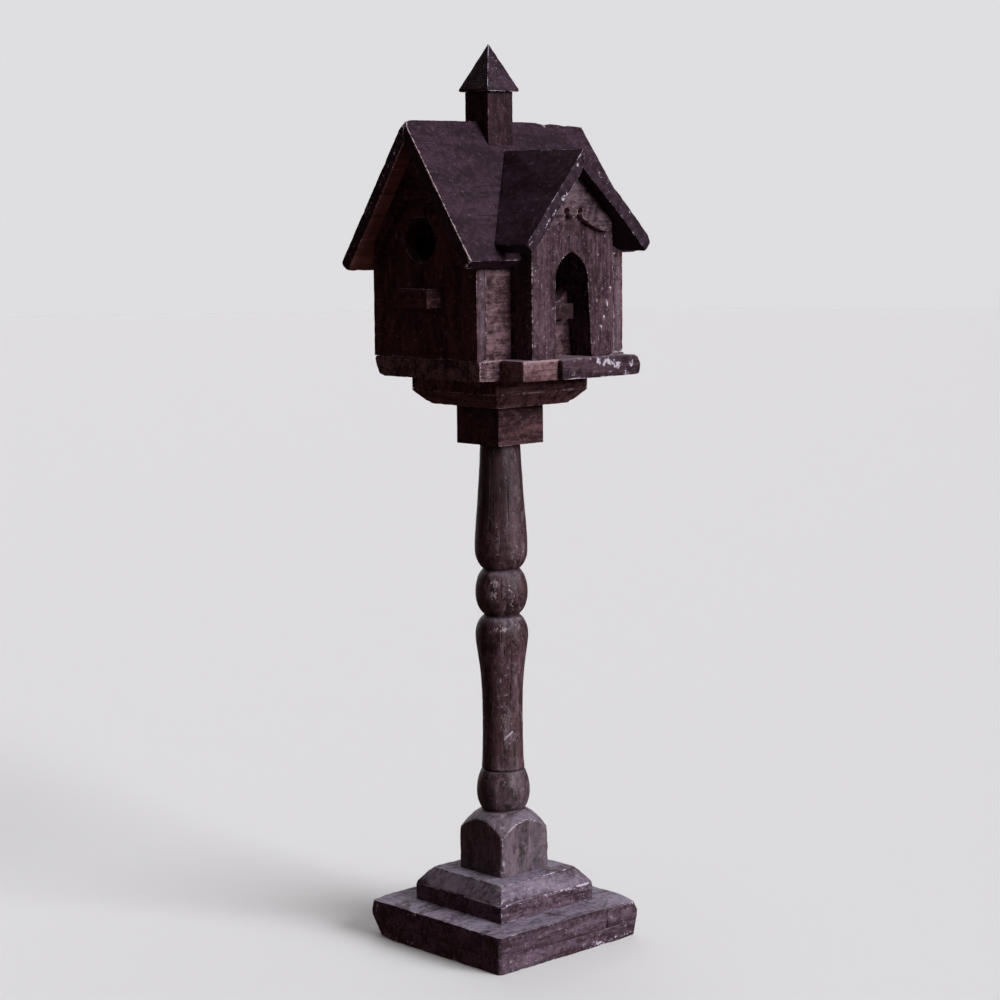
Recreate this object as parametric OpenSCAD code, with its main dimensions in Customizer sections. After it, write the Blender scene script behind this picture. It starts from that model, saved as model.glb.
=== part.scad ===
// Chapel-shaped birdhouse on a turned post, built from separate boards.
// The front, with the arched porch, faces -Y. The origin is the centre of the
// plinth's underside and +Z runs up the post. Lengths are in millimetres.

/* [Base] */
// Side of the square plinth
plinth_w = 125; // [120:0.5:130]
// Thickness of the lower plinth board
plinth_lower_t = 10; // [8:0.5:12]
// Thickness of the upper plinth layer
plinth_upper_t = 14; // [12:0.5:16]
// Where the glue line of the upper plinth layer lies, along X
plinth_seam_x = 33; // [25:1:40]
// Radius of the plinth's upright corners
plinth_corner_r = 3; // [1:0.5:6]
// Side of the two step boards
step_w = 82; // [80:0.5:86]
// Thickness of the square step board
step_t = 10.3; // [8:0.1:12]
// Thickness of the bevelled step board
step_bevel_t = 11.3; // [9:0.1:13]
// Side of the bevelled step board's top face
step_top_w = 66.5; // [60:0.5:72]

/* [Post] */
// Side of the square foot of the post
foot_w = 42; // [40:0.5:44]
// Height of the foot's corners
foot_corner_h = 25; // [20:0.5:28]
// Height from the foot's underside to the end of the turned column
post_h = 279.4; // [270:0.2:290]
// Diameter of the tenon on the post's top
tenon_d = 16; // [12:0.5:18]
// Length of the tenon
tenon_h = 16; // [10:0.5:20]

/* [House support] */
// Side of the square block on the post
top_block_w = 39.5; // [36:0.5:42]
// Height of the square block
top_block_h = 25.4; // [22:0.2:28]
// Side of the flared board's underside
flare_bottom_w = 63.2; // [58:0.2:68]
// Side of the flared board's top face
flare_top_w = 80; // [78:0.5:84]
// Thickness of the flared board
flare_t = 10.1; // [8:0.1:12]
// Side of the square board under the floor
under_w = 79.5; // [76:0.5:84]
// Thickness of the square board under the floor
under_t = 9.1; // [8:0.1:12]

/* [House] */
// Length of the house along the ridge, over the gable walls
house_w = 126.7; // [124:0.1:130]
// Depth of the house over the front and back walls
house_d = 96.4; // [94:0.1:100]
// Thickness of the walls
wall_t = 8; // [7:0.5:9]
// Thickness of the floor and the porch floor
floor_t = 12.8; // [11:0.1:14]
// How far the floor stands out past the front wall
floor_lip = 2; // [1:0.5:4]
// Diameter of the round entry holes
hole_d = 28; // [25:0.5:28]
// Height of the gable entry holes above the floor
gable_hole_z = 73; // [71:0.5:75]
// How far the gable entry holes sit behind the ridge line
gable_hole_y = 3; // [-4:0.5:4]
// Width of the porch floor
porch_w = 93; // [88:0.5:98]
// How far the porch floor stands out past the floor
porch_out = 21; // [19:0.5:24]
// Thickness of the edging strip on the porch floor
strip_t = 4.4; // [3:0.1:6]
// Length of the edging strip
strip_l = 69; // [60:0.5:75]
// How far the edging strip runs past the porch floor's right corner
strip_past = 5; // [2:0.5:8]

/* [Porch front] */
// Width of the gabled porch plank
bay_w = 70.3; // [68:0.1:74]
// Thickness of the gabled porch plank
bay_t = 19; // [17:0.5:20]
// Width of the pointed arch at its springing
arch_w = 28; // [24:0.5:30]
// Height of the arch's springing above the floor
arch_spring_z = 47; // [44:0.5:50]
// Rise of the arch's point above its springing
arch_rise = 18; // [16:0.5:19]
// How far the arch's middle sits off the plank's middle
arch_x = -1; // [-2:0.5:2]
// How far the right jamb leans out at the floor
arch_flare = 3.2; // [0:0.1:4]

/* [Roof] */
// Height of the outer ridge above the floor
ridge_z = 146.4; // [144:0.2:150]
// Pitch of the main roof, in degrees
roof_pitch = 55; // [54:0.5:56]
// Thickness of the roof boards
roof_t = 8; // [7:0.5:9]
// Level distance from the ridge to the upper edge of the front eave
eave_out = 59.9; // [58:0.1:62]
// The same on the short stretch to the right of the porch
eave_out_right = 48.6; // [48.4:0.1:58]
// The same at the back
eave_out_back = 62; // [58:0.1:64]
// How far the roof stands out past the left gable wall
overhang_left = 15.2; // [12:0.1:18]
// How far the roof stands out past the right gable wall
overhang_right = 12; // [9:0.1:16]
// Height of the dormer's outer ridge above the floor
dormer_ridge_z = 127.8; // [126:0.2:129]
// How far the dormer's ridge sits off the plank's middle
dormer_x = -3; // [-4:0.5:0]
// Pitch of the dormer's left board, in degrees
dormer_pitch_left = 49.6; // [49:0.1:50]
// Pitch of the dormer's right board, in degrees
dormer_pitch_right = 43.2; // [42:0.1:44]
// Level distance from the plank's middle to the upper edge of the dormer's left eave
dormer_eave_left = 52; // [50:0.1:54]
// The same on the right
dormer_eave_right = 57.3; // [55:0.1:58]
// How far the dormer stands out past the porch plank
dormer_out = 13; // [10:0.5:16]

/* [Trim and perches] */
// Thickness of the scroll-cut trims
trim_t = 4; // [2:0.5:5]
// Half width of the gable trims
gable_trim_half = 42; // [38:0.5:45]
// Distance of the gable trims' notches from the middle
gable_notch_x = 11.5; // [9:0.5:13]
// Height of the gable trims' notches above the floor
gable_notch_z = 95.5; // [92:0.5:98]
// Half width of the porch trim
bay_trim_half = 33.5; // [31:0.5:34]
// Distance of the porch trim's notches from the middle
bay_notch_x = 5.8; // [5:0.1:7]
// Height of the porch trim's notches above the floor
bay_notch_z = 90; // [88:0.5:91]
// Width, height and depth of the perch blocks on the gables
perch = [30, 12, 12.5];
// Height of the gable perch blocks' undersides above the floor
perch_z = 31.4; // [28:0.2:34]
// How far the gable perch blocks sit behind the ridge line
perch_y = -1.5; // [-4:0.5:4]
// Width, height and depth of the perch block inside the arch
niche_perch = [20, 9.5, 9.5];
// Height of the arch's perch block above the floor
niche_perch_z = 23.2; // [20:0.2:24]

/* [Cupola] */
// Side of the square tower
tower_w = 21.3; // [18:0.1:24]
// Height of the tower's top above the ridge
tower_h = 18.1; // [14:0.1:20]
// Place of the tower along the ridge
tower_x = -7; // [-14:0.5:0]
// Side of the pyramid cap
cap_w = 27; // [25:0.5:30]
// Height of the pyramid cap
cap_h = 30.5; // [28:0.5:34]
// Thickness of the cap's upright edge
cap_edge = 1.6; // [1:0.1:3]

/* [Hidden] */
$fn = 72;

// Colours of the stained boards, the worn base and the steel
stain = [0.27, 0.19, 0.21];
roof_stain = [0.25, 0.19, 0.23];
base_stain = [0.42, 0.36, 0.40];
post_stain = [0.33, 0.24, 0.26];
bare_wood = [0.46, 0.37, 0.38];
steel = [0.45, 0.43, 0.42];

// Levels of the stack, from the ground up
step_z = plinth_lower_t + plinth_upper_t;
step_bevel_z = step_z + step_t;
post_z = step_bevel_z + step_bevel_t;
top_block_z = post_z + post_h;
flare_z = top_block_z + top_block_h;
under_z = flare_z + flare_t;
floor_z = under_z + under_t;
wall_z = floor_z + floor_t;

// Main roof: level of the outer and inner ridge, and the slope
roof_top = wall_z + ridge_z;
roof_slope = tan(roof_pitch);
roof_under = roof_top - roof_t / cos(roof_pitch);
roof_left_x = -house_w / 2 - overhang_left;
roof_l = house_w + overhang_left + overhang_right;

// Dormer roof
dormer_top = wall_z + dormer_ridge_z;
dormer_under = dormer_top - roof_t / cos(dormer_pitch_left);
dormer_back = (roof_top - dormer_top) / roof_slope;

// Planes of the front, seen from the house's centre towards -Y
front_y = -house_d / 2;
floor_front_y = front_y - floor_lip;
bay_y = front_y - bay_t;
dormer_y = bay_y - dormer_out;
porch_front_y = floor_front_y - porch_out;
inner_w = house_w - 2 * wall_t;
spring_z = wall_z + arch_spring_z;

// Bevels: upright edge left on the bevelled boards
bevel_lip = 1.2;
// Fall of the trims' wings, and the steps that draw them
gable_trim_fall = 29.5;
bay_trim_fall = 8;
trim_steps = 16;
// Larger than any board, for cutting shapes
big = 400;

// Screws: two in the base from below, two in the floor from above
screw_place = 9;
screw_d = 4;
screw_head_d = 8;
screw_head_h = 3.2;
base_screw_l = 62;
head_screw_l = 48;

// Nails through the gable walls into the front and back walls
nail_d = 1.8;
nail_head_d = 3.2;
nail_head_h = 0.8;
nail_l = 26;
nail_heights = [12, 34, 56];

// Turned profile above the foot: height over the foot's underside and radius.
// Smooth runs are joined at the sharp quirks between the turnings.
lower_ball = [[39.9, 13.9], [43.5, 15.9], [48, 17.1], [53, 17.4], [58, 16.9], [62.5, 15.7], [66.4, 14.1]];
column = [
    [67.2, 14.1], [74, 13.6], [90.4, 13.2], [105, 13.2], [119, 13.5], [130, 14.3],
    [138, 15.2], [147, 16.5], [154, 17.2], [160, 16.6], [165, 14.4], [167.8, 11.6]
];
upper_ball = [[168.6, 11.8], [172, 14.6], [177, 16.5], [182.7, 17], [188.5, 16.5], [194, 14.8], [197.9, 12]];
upper_column = [
    [198.3, 12.1], [201, 14.5], [205, 16.3], [209, 17.1], [219, 17], [231, 16.1],
    [245, 15], [259, 14.1], [271, 13.4], [279.4, 13]
];
curve_steps = 4;

// Catmull-Rom curve through a run of points
function blend(a, b, c, d, t) =
    0.5 * (2 * b + (c - a) * t + (2 * a - 5 * b + 4 * c - d) * t * t
    + (3 * b - a - 3 * c + d) * t * t * t);
function curve(p) = [
    for (i = [0 : len(p) - 2], k = [0 : curve_steps - 1])
        blend(p[max(i - 1, 0)], p[i], p[i + 1], p[min(i + 2, len(p) - 1)], k / curve_steps),
    p[len(p) - 1]
];
// Heights and radii swapped into outline points
function outline(p) = [for (q = p) [q[1], q[0]]];

// Smooth step from 0 to 1 for the gable trims' scroll edge
function ease(t) = t * t * (3 - 2 * t);

// A square board lying flat, centred on the post's axis
module square_board(w, t, z, r = 0.5) {
    translate([0, 0, z]) linear_extrude(t) rounded_square([w, w], r);
}

module rounded_square(size, r) {
    square([size[0] - 2 * r, size[1]], center = true);
    square([size[0], size[1] - 2 * r], center = true);
    for (x = [-1, 1], y = [-1, 1])
        translate([x * (size[0] / 2 - r), y * (size[1] / 2 - r)]) circle(r);
}

// A square board whose four sides slope from one width to another
module bevelled_board(bottom_w, top_w, t, z, lip_low, lip_high) {
    profile = [
        [-bottom_w / 2, 0], [bottom_w / 2, 0], [bottom_w / 2, lip_low], [top_w / 2, t - lip_high],
        [top_w / 2, t], [-top_w / 2, t], [-top_w / 2, t - lip_high], [-bottom_w / 2, lip_low]
    ];
    translate([0, 0, z]) intersection() {
        along_y(bottom_w + top_w) polygon(profile);
        along_x(bottom_w + top_w) polygon(profile);
    }
}

// Extrudes an XZ outline along Y, centred, or from y0 towards +Y
module along_y(l) {
    translate([0, l / 2, 0]) rotate([90, 0, 0]) linear_extrude(l) children();
}
module along_y_from(y0, l) {
    translate([0, y0 + l, 0]) rotate([90, 0, 0]) linear_extrude(l) children();
}
// Extrudes a YZ outline along X, centred, or from x0 towards +X
module along_x(l) {
    translate([-l / 2, 0, 0]) rotate([90, 0, 90]) linear_extrude(l) children();
}
module along_x_from(x0, l) {
    translate([x0, 0, 0]) rotate([90, 0, 90]) linear_extrude(l) children();
}

// Everything below the main roof's outer faces
module below_roof() {
    drop = roof_slope * big;
    along_x(2 * big) polygon([[-big, roof_top - drop], [0, roof_top], [big, roof_top - drop]]);
}

// A countersunk screw pointing up from z, or down when it is mirrored
module screw(l) {
    cylinder(h = screw_head_h, d1 = screw_head_d, d2 = screw_d);
    translate([0, 0, screw_head_h]) cylinder(h = l - screw_head_h - screw_d, d = screw_d);
    translate([0, 0, l - screw_d]) cylinder(h = screw_d, d1 = screw_d, d2 = 0.6);
}

module base_screw_set() {
    for (s = [-1, 1]) translate([s * screw_place, s * screw_place, 0]) screw(base_screw_l);
}

module head_screw_set() {
    for (s = [-1, 1]) translate([s * screw_place * 1.3, -s * screw_place * 1.3, wall_z])
        mirror([0, 0, 1]) screw(head_screw_l);
}

module wall_nail_set() {
    for (side = [-1, 1], y = [-1, 1], z = nail_heights)
        translate([side * house_w / 2, y * (house_d - wall_t) / 2, wall_z + z]) rotate([0, -90 * side, 0]) {
            cylinder(h = nail_head_h, d = nail_head_d, $fn = 32);
            translate([0, 0, nail_head_h]) cylinder(h = nail_l - nail_head_h, d = nail_d, $fn = 32);
        }
}

// Base

module plinth_lower_board() {
    color(base_stain) difference() {
        square_board(plinth_w, plinth_lower_t, 0, plinth_corner_r);
        base_screw_set();
    }
}

module plinth_upper_layer() {
    square_board(plinth_w, plinth_upper_t, plinth_lower_t, plinth_corner_r);
}

module plinth_upper_board() {
    color(base_stain) difference() {
        plinth_upper_layer();
        translate([plinth_seam_x, -big / 2, 0]) cube(big);
        base_screw_set();
    }
}

module plinth_edge_board() {
    color(base_stain) difference() {
        plinth_upper_layer();
        translate([plinth_seam_x - big, -big / 2, 0]) cube(big);
    }
}

module step_board() {
    color(base_stain) difference() {
        square_board(step_w, step_t, step_z);
        base_screw_set();
    }
}

module bevelled_step_board() {
    color(base_stain) difference() {
        bevelled_board(step_w, step_top_w, step_bevel_t, step_bevel_z, bevel_lip, 0.3);
        base_screw_set();
    }
}

// Post: a square blank turned to the profile, so its foot keeps flat faces

module post_turning() {
    corner_r = foot_w / sqrt(2);
    rotate_extrude() polygon(concat(
        [[0, 0], [corner_r + 1, 0], [corner_r + 1, foot_corner_h], [corner_r, foot_corner_h]],
        [[24.5, foot_corner_h + 6.6], [20, foot_corner_h + 11], [16, foot_corner_h + 13.7]],
        outline(curve(lower_ball)), outline(curve(column)),
        outline(curve(upper_ball)), outline(curve(upper_column)),
        [[tenon_d / 2, post_h], [tenon_d / 2, post_h + tenon_h], [0, post_h + tenon_h]]
    ));
}

module turned_post() {
    color(post_stain) difference() {
        translate([0, 0, post_z]) intersection() {
            post_turning();
            translate([-foot_w / 2, -foot_w / 2, 0]) cube([foot_w, foot_w, post_h + tenon_h]);
        }
        base_screw_set();
    }
}

// House support

module top_block() {
    color(stain) difference() {
        square_board(top_block_w, top_block_h, top_block_z);
        translate([0, 0, top_block_z]) cylinder(h = tenon_h, d = tenon_d);
        head_screw_set();
    }
}

module flared_board() {
    color(stain) difference() {
        bevelled_board(flare_bottom_w, flare_top_w, flare_t, flare_z, 0.3, bevel_lip);
        head_screw_set();
    }
}

module under_board() {
    color(stain) difference() {
        square_board(under_w, under_t, under_z);
        head_screw_set();
    }
}

// House

module floor_board() {
    color(stain) difference() {
        translate([-house_w / 2, floor_front_y, floor_z]) cube([house_w, house_d + floor_lip, floor_t]);
        head_screw_set();
    }
}

module porch_floor() {
    color(bare_wood) translate([-porch_w / 2, porch_front_y, floor_z]) cube([porch_w, porch_out, floor_t]);
}

module doorstep_strip() {
    color(stain) translate([porch_w / 2 + strip_past - strip_l, porch_front_y - strip_t, floor_z])
        cube([strip_l, strip_t, floor_t]);
}

// Height of the roof's underside over a point at distance d from the ridge
function under_main(d) = roof_under - roof_slope * d;
function dormer_pitch(side) = side < 0 ? dormer_pitch_left : dormer_pitch_right;
// Height of the dormer's underside at x, on the left or right of its ridge
function under_dormer(x) =
    dormer_under - tan(dormer_pitch(x - dormer_x)) * abs(x - dormer_x);

// A long wall between the gables, bevelled to the roof along its top
module long_wall() {
    outer = house_d / 2;
    inner = outer - wall_t;
    along_x(inner_w) polygon([
        [-outer, wall_z], [-inner, wall_z], [-inner, under_main(inner)], [-outer, under_main(outer)]
    ]);
}

module front_wall() {
    color(stain) difference() {
        long_wall();
        translate([0, 0, spring_z]) rotate([90, 0, 0]) cylinder(h = big, d = hole_d);
        wall_nail_set();
    }
}

module back_wall() {
    color(stain) difference() {
        mirror([0, 1, 0]) long_wall();
        wall_nail_set();
    }
}

module gable_wall(side) {
    half = house_d / 2;
    x0 = side > 0 ? house_w / 2 - wall_t : -house_w / 2;
    color(stain) difference() {
        along_x_from(x0, wall_t) polygon([
            [-half, wall_z], [half, wall_z], [half, under_main(half)], [0, roof_under],
            [-half, under_main(half)]
        ]);
        translate([x0 - 1, gable_hole_y, wall_z + gable_hole_z]) rotate([0, 90, 0])
            cylinder(h = wall_t + 2, d = hole_d);
        wall_nail_set();
    }
}

// Pointed arch on its springing line, with straight jambs down to the floor
module arch_opening() {
    half = arch_w / 2;
    set_back = (arch_rise * arch_rise - half * half) / arch_w;
    intersection() {
        translate([-set_back, 0]) circle(half + set_back);
        translate([set_back, 0]) circle(half + set_back);
        translate([-half, 0]) square([arch_w, arch_rise + 1]);
    }
    polygon([[-half, 0], [-half, -arch_spring_z - 1], [half + arch_flare, -arch_spring_z - 1], [half, 0]]);
}

module bay_front() {
    half = bay_w / 2;
    color(stain) difference() {
        along_y_from(bay_y, bay_t) polygon([
            [-half, wall_z], [half, wall_z], [half, under_dormer(half)], [dormer_x, dormer_under],
            [-half, under_dormer(-half)]
        ]);
        translate([arch_x, 0, spring_z]) along_y_from(bay_y - 1, bay_t + 2) arch_opening();
    }
}

// Scroll-cut trim filling a gable's point. A small point hangs between two
// round notches, and a wing runs from each notch to the eave.
// peak: the point's height, slopes: of the left and right upper edges,
// notch: a notch's place, wing: points of the right wing's lower edge
module trim_outline(peak, slopes, notch, notch_r, point_drop, wing) {
    half = wing[len(wing) - 1][0];
    bottom = wing[len(wing) - 1][1] - 10;
    left_wing = [for (i = [len(wing) - 1 : -1 : 0]) [-wing[i][0], wing[i][1]]];
    intersection() {
        polygon([
            [0, peak], [-half, peak - slopes[0] * half], [-half, bottom], [half, bottom],
            [half, peak - slopes[1] * half]
        ]);
        difference() {
            polygon(concat(
                [[-half, peak]], left_wing,
                [[-notch[0], notch[1]], [0, notch[1] - point_drop], [notch[0], notch[1]]],
                wing, [[half, peak]]
            ));
            for (s = [-1, 1]) translate([s * notch[0], notch[1]]) circle(notch_r, $fn = 32);
        }
    }
}

module gable_trim(side) {
    x0 = side > 0 ? house_w / 2 : -house_w / 2 - trim_t;
    start = [gable_notch_x + 4, wall_z + gable_notch_z - 2];
    wing = [
        for (i = [0 : trim_steps])
            let (t = i / trim_steps)
                [start[0] + t * (gable_trim_half - start[0]), start[1] - gable_trim_fall * ease(t)]
    ];
    color(stain) along_x_from(x0, trim_t)
        trim_outline(
            roof_under, [roof_slope, roof_slope], [gable_notch_x, wall_z + gable_notch_z], 2.6, 5, wing
        );
}

module bay_gable_trim() {
    start = [bay_notch_x + 2.6, wall_z + bay_notch_z - 4.6];
    end_r = 3.5;
    belly_l = bay_trim_half - end_r - start[0];
    low = start[1] - bay_trim_fall;
    wing = concat(
        [
            for (i = [0 : trim_steps])
                let (t = i / trim_steps)
                    [start[0] + t * belly_l, start[1] - bay_trim_fall * sin(90 * t)]
        ],
        [for (a = [30 : 30 : 90]) [bay_trim_half - end_r * (1 - sin(a)), low + end_r * (1 - cos(a))]]
    );
    color(stain) translate([dormer_x, 0, 0]) along_y_from(bay_y - trim_t, trim_t)
        trim_outline(
            dormer_under, [tan(dormer_pitch_left), tan(dormer_pitch_right)],
            [bay_notch_x, wall_z + bay_notch_z], 2.3, 4.2, wing
        );
}

module perch_block(side) {
    x0 = side > 0 ? house_w / 2 : -house_w / 2 - perch[2];
    color(stain) translate([x0, perch_y - perch[0] / 2, wall_z + perch_z])
        cube([perch[2], perch[0], perch[1]]);
}

module niche_perch_block() {
    color(stain) translate([-niche_perch[0] / 2, front_y - niche_perch[2], wall_z + niche_perch_z])
        cube([niche_perch[0], niche_perch[2], niche_perch[1]]);
}

// Roof

// A main roof board on the -Y side, mitred at the ridge, eave end square to it
module main_roof_board(out) {
    eave_z = roof_top - roof_slope * out;
    along_x_from(roof_left_x, roof_l) polygon([
        [0, roof_top], [-out, eave_z],
        [-out + roof_t * sin(roof_pitch), eave_z - roof_t * cos(roof_pitch)],
        [0, roof_under]
    ]);
}

module front_roof_board() {
    color(roof_stain) difference() {
        main_roof_board(eave_out);
        translate([-bay_w / 2, front_y - big, wall_z]) cube([bay_w, big, ridge_z]);
        translate([0, -eave_out_right - big, wall_z]) cube([big, big, ridge_z]);
    }
}

module back_roof_board() {
    color(roof_stain) mirror([0, 1, 0]) main_roof_board(eave_out_back);
}

module dormer_board(side) {
    pitch = dormer_pitch(side);
    eave_x = side < 0 ? -dormer_eave_left : dormer_eave_right;
    inner_x = eave_x - side * roof_t * sin(pitch);
    color(roof_stain) difference() {
        along_y_from(dormer_y, -dormer_back - dormer_y) polygon([
            [dormer_x, dormer_top], [eave_x, dormer_top - tan(pitch) * abs(eave_x - dormer_x)],
            [inner_x, under_dormer(inner_x)], [dormer_x, dormer_under]
        ]);
        below_roof();
    }
}

// Cupola

module cupola_tower() {
    color(stain) difference() {
        translate([tower_x - tower_w / 2, -tower_w / 2, wall_z + ridge_z / 2])
            cube([tower_w, tower_w, ridge_z / 2 + tower_h]);
        below_roof();
    }
}

module cupola_cap() {
    half = cap_w / 2;
    profile = [[-half, 0], [half, 0], [half, cap_edge], [0, cap_h], [-half, cap_edge]];
    color(roof_stain) translate([tower_x, 0, roof_top + tower_h]) intersection() {
        along_y(cap_w) polygon(profile);
        along_x(cap_w) polygon(profile);
    }
}

// Fixings

module base_screws() {
    color(steel) base_screw_set();
}

module head_screws() {
    color(steel) head_screw_set();
}

module wall_nails() {
    color(steel) wall_nail_set();
}

plinth_lower_board();
plinth_upper_board();
plinth_edge_board();
step_board();
bevelled_step_board();
turned_post();
top_block();
flared_board();
under_board();
floor_board();
porch_floor();
doorstep_strip();
front_wall();
back_wall();
gable_wall(-1);  // left_gable_wall
gable_wall(1);  // right_gable_wall
bay_front();
gable_trim(-1);  // left_gable_trim
gable_trim(1);  // right_gable_trim
bay_gable_trim();
perch_block(-1);  // left_perch_block
perch_block(1);  // right_perch_block
niche_perch_block();
front_roof_board();
back_roof_board();
dormer_board(-1);  // dormer_left_board
dormer_board(1);  // dormer_right_board
cupola_tower();
cupola_cap();
base_screws();
head_screws();
wall_nails();
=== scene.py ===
"""Looks of the chapel-shaped birdhouse: hand-cut boards with worn edges and dusty dark stain."""

import math

import bmesh
import bpy
import numpy as np
from mathutils import Matrix, Vector, noise
from mathutils.bvhtree import BVHTree


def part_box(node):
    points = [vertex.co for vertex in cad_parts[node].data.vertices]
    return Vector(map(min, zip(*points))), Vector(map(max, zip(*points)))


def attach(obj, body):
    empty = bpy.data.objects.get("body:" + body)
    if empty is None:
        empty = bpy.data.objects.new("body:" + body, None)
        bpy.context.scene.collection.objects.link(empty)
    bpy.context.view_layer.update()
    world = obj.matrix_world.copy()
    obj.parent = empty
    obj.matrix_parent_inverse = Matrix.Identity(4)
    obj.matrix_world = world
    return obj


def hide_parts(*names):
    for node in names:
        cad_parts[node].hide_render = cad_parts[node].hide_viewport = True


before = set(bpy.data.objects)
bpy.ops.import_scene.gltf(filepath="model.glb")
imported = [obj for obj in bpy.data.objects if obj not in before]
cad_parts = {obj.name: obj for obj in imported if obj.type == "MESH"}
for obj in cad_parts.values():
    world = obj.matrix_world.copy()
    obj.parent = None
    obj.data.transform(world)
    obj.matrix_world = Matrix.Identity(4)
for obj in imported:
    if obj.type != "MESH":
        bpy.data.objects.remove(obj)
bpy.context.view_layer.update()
MM = 0.001


# ---------------------------------------------------------------- node graphs


class Graph:
    """Short calls for the nodes of one material."""

    def __init__(self, name):
        self.material = bpy.data.materials.new(name)
        self.material.use_nodes = True
        self.tree = self.material.node_tree
        self.tree.nodes.clear()
        self.out = self.node("ShaderNodeOutputMaterial")

    def node(self, kind, inputs=None, **attributes):
        made = self.tree.nodes.new(kind)
        for key, value in attributes.items():
            setattr(made, key, value)
        for key, value in (inputs or {}).items():
            self.put(made.inputs[key], value)
        return made

    def put(self, socket, value):
        if isinstance(value, bpy.types.NodeSocket):
            self.tree.links.new(value, socket)
        else:
            socket.default_value = value

    def math(self, operation, a, b=0.5, c=None, clamp=False):
        made = self.node("ShaderNodeMath", {0: a, 1: b}, operation=operation, use_clamp=clamp)
        if c is not None:
            self.put(made.inputs[2], c)
        return made.outputs[0]

    def coords(self, turn, offset, scale):
        """Object coordinates turned into the board's own axes, moved and scaled, per metre."""
        place = self.node("ShaderNodeTexCoord").outputs["Object"]
        turned = self.node(
            "ShaderNodeMapping", {"Vector": place, "Rotation": turn, "Location": offset}
        )
        return self.node(
            "ShaderNodeMapping", {"Vector": turned.outputs[0], "Scale": scale}
        ).outputs[0]

    def noise(self, vector, scale=1.0, detail=4.0, rough=0.55, distort=0.0):
        inputs = {
            "Vector": vector,
            "Scale": scale,
            "Detail": detail,
            "Roughness": rough,
            "Distortion": distort,
        }
        return self.node("ShaderNodeTexNoise", inputs, noise_dimensions="3D").outputs[0]

    def step(self, value, low, high, out_low=0.0, out_high=1.0):
        """Smooth ramp of a value from low to high."""
        inputs = {0: value, 1: low, 2: high, 3: out_low, 4: out_high}
        made = self.node("ShaderNodeMapRange", inputs, interpolation_type="SMOOTHSTEP")
        return made.outputs[0]

    def mix(self, factor, a, b, blend="MIX"):
        made = self.node("ShaderNodeMix", data_type="RGBA", blend_type=blend)
        self.put(made.inputs["Factor"], factor)
        for socket, value in (("A", a), ("B", b)):
            found = [s for s in made.inputs if s.name == socket and s.type == "RGBA"][0]
            self.put(found, value if isinstance(value, bpy.types.NodeSocket) else (*value, 1))
        return [s for s in made.outputs if s.type == "RGBA"][0]


def srgb(r, g, b, gain=1.0):
    """Linear colour of an 8-bit sRGB one."""
    return tuple(
        gain * (c / 12.92 if c <= 0.04045 else ((c + 0.055) / 1.055) ** 2.4)
        for c in (r / 255, g / 255, b / 255)
    )


GRAIN_TURN = {"x": (0, 0, 0), "y": (0, 0, -math.pi / 2), "z": (0, math.pi / 2, 0)}
TIMBER_LOOK = dict(
    wear=None,  # tone of bare wood on rubbed edges, scratches and flecks
    wear_level=0.45,  # how much of an edge is rubbed
    wear_width=1.2,  # how far in from an edge it is rubbed, in mm
    dust=None,  # tone of dust on faces that look up
    dust_amount=0.5,
    speck=0.5,  # strength of the pale flecks
    scratch=0.4,
    blotch=0.5,  # how far blotches, and then fibres and rings, mix the stain's two tones
    streak=0.6,
    peel=0.3,  # strength of the thin patches, which show the tone under
    under=None,
    below=None,  # tone of raw wood on faces that look down, lightened as painted light
    sawn=0.0,  # height of saw marks on faces that look down
    dots=0.0,  # strength of the dark spots
    bump=1.0,
    rough=(0.55, 0.8),
    gloss=0.14,
)


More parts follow.
